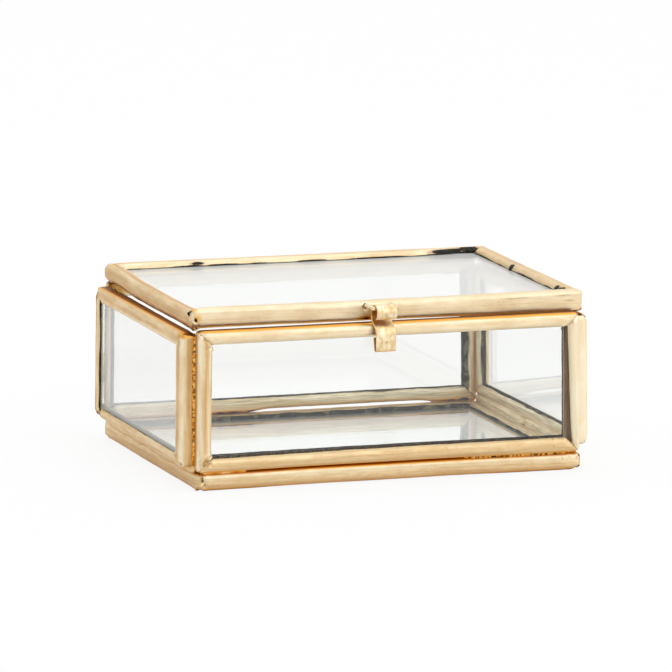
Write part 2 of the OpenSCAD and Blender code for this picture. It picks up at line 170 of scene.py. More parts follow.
def brass_material(name, light, tan, grain=1, rough=0.34, drawn=1):
    """Satin brass, polished by hands: blotches, drawn streaks, brown flecks, painted shade and
    reflection in its gaps, painted light, patina. drawn is how strongly its streaks run along it.
    Mesh attributes: grime (blackened), inner (inside of the box), shade_and_stain (painted shade
    and reflection in a gap, and brown places), painted_light (painted highlight, or painted tan
    shade below 0), along (length, girth, seed in mm)."""
    material, n = new_material(name)
    place = n.add("TexCoord").outputs["Object"]
    along = n.attribute("along", "Vector")
    grime, inner, shade_and_stain, painted_light = map(n.attribute, ("grime", "inner", "shade_and_stain", "painted_light"))

    def streaks(scale, detail, rough, low, high):
        return n.ramp(n.noise(n.stretched(along, scale), 1, detail, rough), low, high)

    blotch = n.ramp(n.noise(place, 75, 4, 0.6), 0.4, 0.64)
    rub = streaks((0.22, 0.75, 3.1), 5, 0.65, 0.42, 0.66)
    streak = streaks((0.045, 2.6, 1.7), 4, 0.6, 0.44, 0.66)
    fleck = n.ramp(n.noise(place, 820, 3, 0.7), 0.63, 0.72)
    fleck_where = n.ramp(n.noise(place, 55, 2), 0.5, 0.62)
    # painted light: paler towards a highlight colour where the attribute is above 0, towards a painted
    # tan shade where it is below 0
    colour = n.mix(painted_light, light, HIGHLIGHT_BRASS)
    colour = n.mix(n.times(blotch, 0.56 * grain), colour, n.mix(painted_light, tan, HIGHLIGHT_TAN))
    colour = n.mix(n.times(painted_light, -1, True), colour, SHADE_TAN)
    # the drawn marks and flecks show less where the painted highlight is
    marks_away_from_light = n.math("SUBTRACT", 1, n.times(painted_light, 0.8, True))
    for mark, amount, tint in ((rub, 0.46 * grain, (0.68, 0.45, 0.22)),
                               (streak, 0.34 * grain * drawn, (0.54, 0.34, 0.14))):
        colour = n.mix(n.times(n.times(mark, amount), marks_away_from_light), colour, tint)
    flecks = n.times(n.times(fleck, fleck_where), marks_away_from_light)
    colour = n.mix(n.times(flecks, 0.75 * grain), colour, (0.32, 0.18, 0.08))
    # painted reflection and shade in a gap: orange, then brown, and nearly black where two pieces meet,
    # as brass mirrors brass
    for low, high, tint in ((0.08, 0.5, (0.84, 0.45, 0.09)), (0.48, 0.8, (0.58, 0.23, 0.02)),
                            (0.8, 0.97, (0.11, 0.025, 0.004))):
        colour = n.mix(n.ramp(shade_and_stain, low, high), colour, tint)

    # the inside of the box has never been rubbed: cream, olive and brown streaks along the strip
    broad = streaks((0.04, 1, 2.3), 4, 0.6, 0.42, 0.6)
    fine = streaks((0.1, 3.4, 2.9), 4, 0.7, 0.44, 0.62)
    old = n.mix(broad, (1, 0.92, 0.7), (0.86, 0.7, 0.44))
    old = n.mix(n.times(fine, 0.58), old, (0.36, 0.31, 0.19))
    colour = n.mix(n.times(inner, 0.9), colour, old)

    # blackened flux and patina, ragged at its border
    uneven = n.math("SUBTRACT", n.noise(place, 1100, 4, 0.7), 0.5)
    ragged = n.math("ADD", grime, n.times(uneven, 0.4))
    dark = n.ramp(ragged, 0.45, 0.62)
    stain = n.ramp(ragged, 0.14, 0.55)
    colour = n.mix(n.times(stain, 0.6), colour, (0.34, 0.22, 0.09))
    verdigris = n.ramp(n.noise(place, 420, 3, 0.6), 0.5, 0.62)
    black = n.mix(verdigris, (0.018, 0.015, 0.01), (0.06, 0.054, 0.03))
    black = n.mix(n.times(inner, verdigris), black, (0.15, 0.138, 0.08))
    colour = n.mix(dark, colour, black)

    roughness = n.ramp(n.noise(place, 260, 4, 0.6), 0.35, 0.65, rough - 0.05, rough + 0.09)
    roughness = n.math("ADD", roughness, n.times(dark, 0.25))
    roughness = n.math("ADD", roughness, n.times(inner, 0.06))
    metal = n.math("SUBTRACT", 1, n.times(dark, 0.75))

    hatch_scale = (0.9 + 2.6 * (1 - drawn), 3.5 + 3.5 * drawn, 1.3)
    hatch = n.noise(n.stretched(along, hatch_scale), 1, 4, 0.65)
    pits = n.noise(place, 2300, 3, 0.6)
    height = n.math("ADD", n.times(hatch, 0.55), n.times(pits, 0.45))
    height = n.math("SUBTRACT", height, n.times(flecks, 0.5))
    bump = n.add("Bump", Height=height, Strength=0.35, Distance=0.00003 * grain)
    shader = n.add("BsdfPrincipled", Base_Color=colour, Metallic=metal, Roughness=roughness,
                   Normal=bump.outputs[0])
    n.add("OutputMaterial", Surface=shader.outputs[0])
    return material


def glass_material(name, haze, fall, dust=(0.94, 0.96, 0.935)):
    """Old window glass with a dusty film, which shows by haze at a glancing angle and by less,
    to the power fall, as the view turns square to the pane."""
    material, n = new_material(name)
    place = n.add("TexCoord").outputs["Object"]
    smear = n.ramp(n.noise(place, 28, 3, 0.6, 0.4), 0.56, 0.74)
    bubble = n.ramp(n.noise(place, 150, 2, 0.5), 0.3, 0.7, -1, 1)
    bump = n.add("Bump", Height=bubble, Strength=0.1, Distance=0.00001)
    pane = n.add("BsdfPrincipled", Base_Color=(0.98, 0.986, 0.976),
                 Roughness=n.times(smear, 0.035), IOR=1.5, Transmission_Weight=1,
                 Normal=bump.outputs[0])
    glancing = n.math("POWER", n.add("LayerWeight", Blend=0.5).outputs["Facing"], fall)
    film = n.add("BsdfDiffuse", Color=dust)
    pane = n.add("MixShader", Fac=n.times(glancing, haze), _1=pane.outputs[0],
                 _2=film.outputs[0])
    clear = n.add("BsdfTransparent", Color=(0.98, 0.988, 0.978))
    rays = n.add("LightPath").outputs
    through = n.math("MAXIMUM", rays["Is Shadow Ray"], rays["Is Diffuse Ray"])
    both = n.add("MixShader", Fac=through, _1=pane.outputs[0], _2=clear.outputs[0])
    n.add("OutputMaterial", Surface=both.outputs[0])
    return material


BRASS = brass_material("satin_brass", (0.89, 0.69, 0.41), (0.79, 0.57, 0.31), 1, 0.46)
HASP_BRASS = brass_material("hasp_brass", (0.9, 0.73, 0.44), (0.8, 0.6, 0.32), 1.35, 0.38, 0)
WIRE_BRASS = brass_material("wire_brass", (0.9, 0.7, 0.4), (0.8, 0.58, 0.3), 0.7, 0.24)
SOLDER = brass_material("brassy_solder", (0.86, 0.58, 0.25), (0.66, 0.38, 0.14), 1.5, 0.26)
GLASS = glass_material("pane_glass", 0.35, 5)
LID_GLASS = glass_material("lid_pane_glass", 1, 3.6, (0.87, 0.885, 0.87))
DUSTY_GLASS = glass_material("left_pane_glass", 0.6, 2.2)


# ---- meshes
def make_mesh(name, points, faces, body, nodes, material, fields, sharp):
    """A smooth-shaded piece from points in mm, with its point attributes, on its body. sharp:
    the angle in degrees from which an edge stays sharp."""
    mesh = bpy.data.meshes.new(name)
    mesh.from_pydata((np.asarray(points, float) * MM).tolist(), [], faces)
    mesh.validate()
    mesh.update()
    for key, values in (fields or {}).items():
        values = np.asarray(values, np.float32)
        vector = values.ndim == 2
        layer = mesh.attributes.new(key, "FLOAT_VECTOR" if vector else "FLOAT", "POINT")
        layer.data.foreach_set("vector" if vector else "value", values.ravel())
    mesh.shade_smooth()
    mesh.set_sharp_from_angle(angle=math.radians(sharp))
    mesh.materials.append(material)
    piece = new_object(name, mesh)
    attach(piece, body)
    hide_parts(*nodes)


def smooth(x):
    x = np.clip(x, 0, 1)
    return x * x * (3 - 2 * x)


def bell(x, width, power=2):
    """1 at x = 0, falling off on both sides, more squarely with a higher power."""
    return np.exp(-(x / width) ** power)


def rough_field(a, b, seed, octaves=1):
    """Perlin noise at a grid of places a, b, between about -1 and 1."""
    flat = np.fromiter(
        (sum(noise.noise((x * 2 ** k, y * 2 ** k, seed * 7.31 + k)) / 2 ** k for k in range(octaves))
         for x, y in zip(a.ravel(), b.ravel())), float, a.size)
    return flat.reshape(a.shape) * 1.6


def round_angles(count):
    return np.linspace(0, 2 * math.pi, count, endpoint=False)


def ring_faces(stations, ring, flip):
    """Faces between closed rings of points that follow one another."""
    faces = []
    for k in range(stations - 1):
        for i in range(ring):
            j = (i + 1) % ring
            quad = (k * ring + i, k * ring + j, (k + 1) * ring + j, (k + 1) * ring + i)
            faces.append(quad[::-1] if flip else quad)
    return faces


def tube_faces(stations, ring, flip):
    """The same, closed at both ends."""
    count = stations * ring
    caps = tuple(range(ring)), tuple(range(count - 1, count - 1 - ring, -1))
    return ring_faces(stations, ring, flip) + [cap if flip else cap[::-1] for cap in caps]


def rim_pairs(rows, cols):
    """Neighbours round the border of a grid of rows by cols points."""
    last = (rows - 1) * cols
    rim = [*range(0, last + 1, cols), *range(last + 1, last + cols),
           *range(last - 1, 0, -cols), *range(cols - 2, 0, -1)]
    return list(zip(rim, rim[1:] + rim[:1]))


def arc_points(cx, cy, r, start, stop, count):
    """Points on an arc, each with the outward normal there."""
    a = np.radians(np.linspace(start, stop, count))
    return np.stack([cx + r * np.cos(a), cy + r * np.sin(a), np.cos(a), np.sin(a)], 1)


CROWN = 0.1      # how far each face of a strip bulges


def fold_contour(w, t, edge_r):
    """Outside of a strip's section: u in from its edge, v across, and the outward normal.
    It runs from the lip on the +v side round the edge to the lip on the -v side."""
    lip_r = (t - GLASS_T) / 2
    g = GLASS_T / 2
    lip = arc_points(w - lip_r, g, lip_r, 0, 90, 8)
    flat = np.linspace(w - lip_r, edge_r, 8)[1:-1]
    face = np.stack([flat, np.full_like(flat, t / 2), 0 * flat, 0 * flat + 1], 1)
    edge = arc_points(edge_r, t / 2 - edge_r, edge_r, 90, 180, 10)
    web_v = np.linspace(t / 2 - edge_r, 0, 4)[1:]
    web = np.stack([0 * web_v, web_v, 0 * web_v - 1, 0 * web_v], 1)
    half = np.concatenate([lip, face, edge, web])
    bulge = CROWN * np.clip(1 - ((half[:, 0] - w * 0.46) / (w * 0.46)) ** 2, 0, 1)
    half[:, 1] += bulge * (half[:, 1] > t / 2 - 0.9)
    other = half[:-1][::-1] * (1, -1, 1, -1)
    return np.concatenate([half, other])


FRAMES = {
    "front": ((0, MID_Y - FRONT_Y, WALL_MID), (1, 0, 0), (0, 0, 1), FRONT_W, WALL_H, WALL_W, WALL_T),
    "rear": ((0, MID_Y + FRONT_Y, WALL_MID), (-1, 0, 0), (0, 0, 1), FRONT_W, WALL_H, WALL_W, WALL_T),
    "left": ((-SIDE_X, MID_Y, WALL_MID), (0, -1, 0), (0, 0, 1), SIDE_D, SIDE_H, WALL_W, WALL_T),
    "right": ((SIDE_X, MID_Y, WALL_MID), (0, 1, 0), (0, 0, 1), SIDE_D, SIDE_H, WALL_W, WALL_T),
    "base": ((0, MID_Y, BASE_T / 2), (1, 0, 0), (0, 1, 0), BASE_X, BASE_Y, BASE_W, BASE_T),
    "lid": ((0, (LID_FRONT + LID_REAR) / 2, LID_MID), (1, 0, 0), (0, 1, 0), LID_X, LID_Y, LID_W, LID_T),
}
FAR, LEFT, NEAR, RIGHT = range(4)
ROUND_R = CORNER_R * 1.3      # a frame's worn corner, seen square to its pane
WALL_SHIFT, RIGHT_LEAN, RIGHT_TOE = 0.5, 0.75, 0.3      # how far the walls stand off true


def settle(frame_name, p):
    """Hand-made looseness: the lid sags a little towards its front right, the walls stand a
    little to the left on their base, and the right one leans in at the rear."""
    out = p.copy()
    if frame_name == "lid":
        forward = np.clip((LID_REAR - p[..., 1]) / LID_Y, 0, 1)
        across = np.clip(p[..., 0] / LID_X + 0.5, 0, 1)
        front_sag = 0.14 + 0.24 * np.sin(math.pi * np.clip(across * 0.85, 0, 1)) ** 2
        out[..., 2] -= forward * front_sag + (1 - forward) * (0.1 + 0.25 * across)
    elif frame_name != "base":
        behind = smooth((p[..., 1] - MID_Y + WALL_Y) / (2 * WALL_Y))
        rightward = smooth((p[..., 0] + 30) / 70)
        height = np.clip((p[..., 2] - WALL_Z) / WALL_H, 0, 1)
        out[..., 0] -= WALL_SHIFT * (1 - behind * (1 - rightward))
        out[..., 0] -= rightward * (RIGHT_LEAN * height + RIGHT_TOE * behind)
    return out


def frame_axes(frame_name):
    """A frame's middle, its x and y, its outward normal and its sizes."""
    o, x, y, *sizes = FRAMES[frame_name]
    o, x, y = (np.array(a, float) for a in (o, x, y))
    return o, x, y, np.cross(x, y), sizes


def side_axes(frame_name, side):
    """Origin on the strip's outer edge, direction along it, direction inward, outward normal."""
    o, x, y, n, (len_x, len_y, w, t) = frame_axes(frame_name)
    along, out = ((x, y), (y, -x), (-x, -y), (-y, x))[side]
    length, depth = (len_y, len_x) if side in (LEFT, RIGHT) else (len_x, len_y)
    return o + out * (depth / 2), along, -out, n, length, w, t


def groove_shade(frame_name, p, v, t):
    """Painted shade and reflection at each point, in the gaps under the lid, above the base, at the
    floor and in the corner uprights: 1 where two frames meet.
    """
    x, y, z = np.abs(p[..., 0]), p[..., 1], p[..., 2]
    if frame_name == "lid":
        return (0.58 + 0.4 * smooth((p[..., 0] + 10) / 45)) * bell(np.abs(v + t / 2), 0.42, 4)
    if frame_name in ("left", "right"):
        top, shallow, darkest = SIDE_Z + SIDE_H, 0.22, 0.9
        behind = WALL_X - x + (0.5 if frame_name == "left" else -1.2)
    else:
        top, shallow, darkest = WALL_TOP, 0.52, 1
        behind = WALL_Y - np.abs(y - MID_Y)
    under_lid = shallow + (darkest - shallow) * smooth((behind - 0.7) / 1.15)
    gap_lid = bell(np.maximum(top - z, 0), 0.52, 4) * under_lid
    gap_base = 0.85 * bell(z - 4.5, 0.6)
    gap_floor = 0.95 * bell(z, 0.5)
    beside = (x - FRONT_W / 2 + 0.15) ** 2 + (np.abs(y - MID_Y) - SIDE_D / 2 + 0.15) ** 2
    upright = np.where(p[..., 0] < 0, 0.9, 0.22) * np.exp(-beside / 1.15 ** 2)
    upright *= (z > WALL_Z - 0.2) & (z < WALL_TOP)
    return np.clip(gap_lid + gap_base + gap_floor + upright, 0, 1)


def strip(node, frame_name, side, seed, dents=(), lips=(), wave=0.05, facet=0.045,
          pinch=(0.34, 0.34), bow=None, crumple=0.16, grime_lip=(0.16, 0.5), edge_r=EDGE_R,
          reach=(0, 0), slant=0, painted_light=0, cuts=((1, 0), (1, 0)), flare=(0, 0), facet_light_strength=0.35, top_light=0,
          stains_and_shade=(), soot=(), tint=1, skew=(0, 0), end_dirt=(0.62, 0.62), lining=(1, 0, 0), aged=1):
    """One folded strip of a frame. s is measured along it from its middle.
    dents: (s, (u, v), radius, depth, grime). lips: (s, span, pull, lift, v side).
    wave, facet and crumple: how uneven it is along it, round it and at its ends. pinch: how
    flat each end is squeezed. bow: how much higher its points lie. grime_lip: how far patina
    reaches from the lip outside and inside the box. reach: how much further the outer and inner
    lips cover the glass, and slant how that changes along the outer one. painted_light: how much
    painted light (above 0) or painted tan shade (below 0) the strip has, facet_light_strength: how
    much painted highlight its faces get along their sides and painted shade along their middle,
    and top_light: how much lighter its top is painted than its bottom. cuts: for each end, how far
    it is mitred (1) or square (0) and how much shorter it is. flare: how much each end spreads.
    stains_and_shade: brown places, some of them painted shade, and soot: black places, each as
    (s, (u, v), length, radius, amount). tint: how strong the painted shade and reflection in its
    gaps is. skew: how much further each end reaches on its +v side. end_dirt: the patina at its
    ends. lining: grime, painted shade and painted light of the sheet's inner face. aged: how dull
    it is inside the box."""
    start, along, inward, n, length, w, t = side_axes(frame_name, side)
    contour = fold_contour(w, t, edge_r)
    inside_sign = 1 if frame_name == "base" else -1
    count = len(contour)
    step = np.r_[0, np.cumsum(np.hypot(*np.diff(contour[:, :2], axis=0).T))]

    # stations along the strip, closer together at its ends, dents and lifted lips
    ends = np.array([0, 0.06, 0.16, 0.3, 0.5, 0.75, 1.05, 1.4, 1.8, 2.3, 2.9, 3.6, 4.4, 5.4])
    middle = np.linspace(6.6, length - 6.6, int(length / 1.5))
    finer = [length / 2 + at + np.linspace(-1.6, 1.6, 13) * radius for at, _, radius, _, _ in dents]
    finer += [length / 2 + at + np.linspace(-1.2, 1.2, 17) * span for at, span, *_ in lips]
    places = np.concatenate([ends, middle, length - ends[::-1], *finer])
    places = np.unique(np.round(np.clip(places, 0, length), 3))
    places = places[np.r_[True, np.diff(places) > 0.045]]

    u, v, nu, nv, girth = (np.tile(column, (len(places), 1)) for column in (*contour.T, step))
    a = places[:, None] / length
    near_start = places[:, None] + 0 * u
    near_end = length - near_start

    def at_ends(amounts, width, power=2):
        return (amounts[0] * bell(near_start, width, power)
                + amounts[1] * bell(near_end, width, power))

    mitre = ((u * cuts[0][0] + cuts[0][1]) * (1 - a)
             + (length - u * cuts[1][0] - cuts[1][1]) * a)
    ragged_end = 0.12 * rough_field(v / 0.9, u / 1.4, seed + 41)
    high = smooth(v / t + 0.5)
    mitre = (mitre - (skew[0] * high + ragged_end * abs(skew[0])) * (1 - a)
             + (skew[1] * high + ragged_end * abs(skew[1])) * a)
    s = mitre - length / 2

    # waves, wandering facets and crumpled ends, all along the section's normal
    hug = smooth((np.abs(v) - GLASS_T / 2) / 0.7 + 0.12)
    offset = wave * rough_field(s / 17, girth / 9, seed, 2)
    offset += 0.4 * wave * rough_field(s / 4.2, girth / 3.1, seed + 31)
    bends = girth / 2.3 + 0.35 * rough_field(s / 40, girth / 40, seed + 5)
    offset += facet * (np.abs((bends % 1) - 0.5) - 0.25) * 2
    offset += crumple * at_ends((1, 1), 2.6) * rough_field(s / 1.1, girth / 1.3, seed + 11, 2)
    offset *= hug
    grime = np.zeros_like(u)
    for at, (cu, cv), radius, depth, dirt in dents:
        d2 = (s - at) ** 2 + (u - cu) ** 2 * 0.8 + (v - cv) ** 2 * 0.8
        offset -= depth * np.exp(-d2 / (radius * 0.62) ** 2)
        grime = np.maximum(grime, dirt * np.exp(-d2 / (radius * 0.5) ** 2))
    du, dv = nu * offset, nv * offset

    # lips that stand off or fall short of the glass
    lip_u = 0.035 * rough_field(s / 6.5, girth * 0, seed + 3, 2)
    reach_in = smooth((u - w * 0.45) / (w * 0.55))
    wider = np.where(v * inside_sign < 0, reach[0] + slant * s / length, reach[1])
    wider = wider + at_ends(flare, 1.5)
    du = du + (wider - lip_u) * np.clip((u - w * 0.3) / (w * 0.7 - 1), 0, 1)
    for at, span, pull, lift, sign in lips:
        here = bell(s - at, span) * reach_in * (v * sign > 0)
        du = du - pull * here
        dv = dv + sign * lift * here

    # pillowed ends, and the frame's rounded corner
    squeeze = at_ends(pinch, 0.75)
    outer_u, outer_v = u + du, v + dv
    g, half_t = GLASS_T / 2, np.abs(outer_v)
    outer_v = np.sign(outer_v) * np.where(half_t > g, g + (half_t - g) * (1 - squeeze), half_t)
    outer_u = outer_u + squeeze * 0.9 * bell(u, 0.9)
    inner_u, inner_v = outer_u - nu * SHEET, outer_v - nv * SHEET

    def to_frame(uu, vv):
        ss = mitre + (uu - u) * ((1 - a) * cuts[0][0] - a * cuts[1][0])
        q = np.clip(ROUND_R - np.minimum(ss, length - ss), 0, ROUND_R)
        uu = np.maximum(uu, ROUND_R - np.sqrt(np.maximum(ROUND_R ** 2 - q ** 2, 0)))
        p = start + along * (ss - length / 2)[..., None] + inward * uu[..., None] + n * vv[..., None]
        if bow is not None:
            p[..., 2] += bow(p)
        return settle(frame_name, p)

    outside, inside = to_frame(outer_u, outer_v), to_frame(inner_u, inner_v)
    if frame_name == "base":
        for skin in (outside, inside):
            skin[..., 2] = np.maximum(skin[..., 2], 0)
    ring = np.concatenate([outside, inside[:, ::-1]], 1)
    stations, width = ring.shape[:2]
    handed = np.dot(np.cross(along, inward), n) > 0
    faces = ring_faces(stations, width, not handed)
    for base, turned in ((0, handed), ((stations - 1) * width, not handed)):
        for i in range(count - 1):
            quad = (base + i, base + i + 1, base + width - 2 - i, base + width - 1 - i)
            faces.append(quad[::-1] if turned else quad)

    is_inside = smooth(v * inside_sign / 1.1 - 0.35) * smooth((u - 0.9) / 1.2)
    lip_dist = np.minimum(girth, step[-1] - girth)
    reach_g = np.where(v * inside_sign > 0, grime_lip[1], grime_lip[0])
    reach_g = reach_g + np.minimum(reach_g, 0.5) * 0.5 * rough_field(s / 9, girth * 0, seed + 17, 2)
    lip_grime = 1 - smooth((lip_dist - reach_g * 0.5) / np.maximum(reach_g, 0.05))
    grime = np.maximum(grime, np.maximum(lip_grime, at_ends(end_dirt, 0.22, 1)))

    def spot(at, middle, long, radius):
        d2 = (u - middle[0]) ** 2 + (v - middle[1]) ** 2
        return np.exp(-((s - at) / long) ** 2 - d2 / radius ** 2)

    # painted shade and reflection in the gaps between frames, and brown places of which some are
    # painted shade
    shade_and_stain = tint * groove_shade(frame_name, outside, v, t)
    for *place, amount in stains_and_shade:
        shade_and_stain = np.maximum(shade_and_stain, amount * spot(*place))
    for *place, amount in soot:
        grime = np.maximum(grime, amount * spot(*place))
    # painted highlight along both sides of each face and painted tan shade along its middle, made
    # uneven at random
    across = np.where(u > edge_r * 0.6, u / w, 0.5 + 0.5 * v / t * 1.6)
    facet_light = (0.9 * bell(across - 0.82, 0.13) + 0.55 * bell(across - 0.2, 0.13)
            - 1.1 * bell(across - 0.48, 0.15))
    facet_light += 0.45 * rough_field(s / 9, girth / 0.9, seed + 23, 2)
    # the strip is painted lighter towards its top, on top of its faces' painted highlights and its own
    # painted light or shade
    height = (outside[..., 2] - outside[..., 2].mean()) / (t / 2)
    light_and_shade = painted_light + facet_light_strength * facet_light + top_light * height

    def both(outer_values, lining_value):
        return np.concatenate([outer_values, np.full_like(outer_values, lining_value)], 1).ravel()

    track = np.stack([s, girth, 0 * s + seed], -1)
    fields = {
        "grime": both(grime, lining[0]),
        "inner": both(aged * is_inside, 0.5),
        "shade_and_stain": both(shade_and_stain, lining[1]),
        "painted_light": both(light_and_shade, lining[2]),
        "along": np.concatenate([track, track[:, ::-1]], 1).reshape(-1, 3),
    }
    make_mesh(node.replace("_strip", "_channel"), ring.reshape(-1, 3), faces,
              "lid" if frame_name == "lid" else "box", [node], BRASS, fields, 50)


# ---- the 24 strips
# in the order FAR, LEFT, NEAR, RIGHT, each wall seen from outside, base and lid from above
SIDE_WORDS = {
    "front": ("top", "left", "bottom", "right"),
    "rear": ("top", "right", "bottom", "left"),
    "left": ("top", "rear", "bottom", "front"),
    "right": ("top", "front", "bottom", "rear"),
    "base": ("rear", "left", "front", "right"),
    "lid": ("rear", "left", "front", "right"),
}


# Bows: how much higher each point of one strip lies than a straight strip's would
def raised(axis, middle, spread, height):
    """Lifts a strip by height around a place along it."""
    return lambda p: height * bell(p[..., axis] - middle, spread, 4)


def rear_slit(p):
    """The rear strip's foot stands off the base between its two runs of solder."""
    open_part = bell(p[..., 0] - 13.3, 24, 16)
    return (0.78 * open_part - 0.18) * smooth((WALL_Z + 2.4 - p[..., 2]) / 2)


def lid_left_sag(p):
    """The lid's left strip hangs a little lower than the others, but for its rear end."""
    return -0.75 * smooth((32 - p[..., 1]) / 22)


def lid_front_swell(p):
    """The lid's front strip gets thicker underneath towards its right end."""
    return -0.62 * smooth((p[..., 0] - 2) / 44) * smooth((41.6 - p[..., 2]) / 1.6)


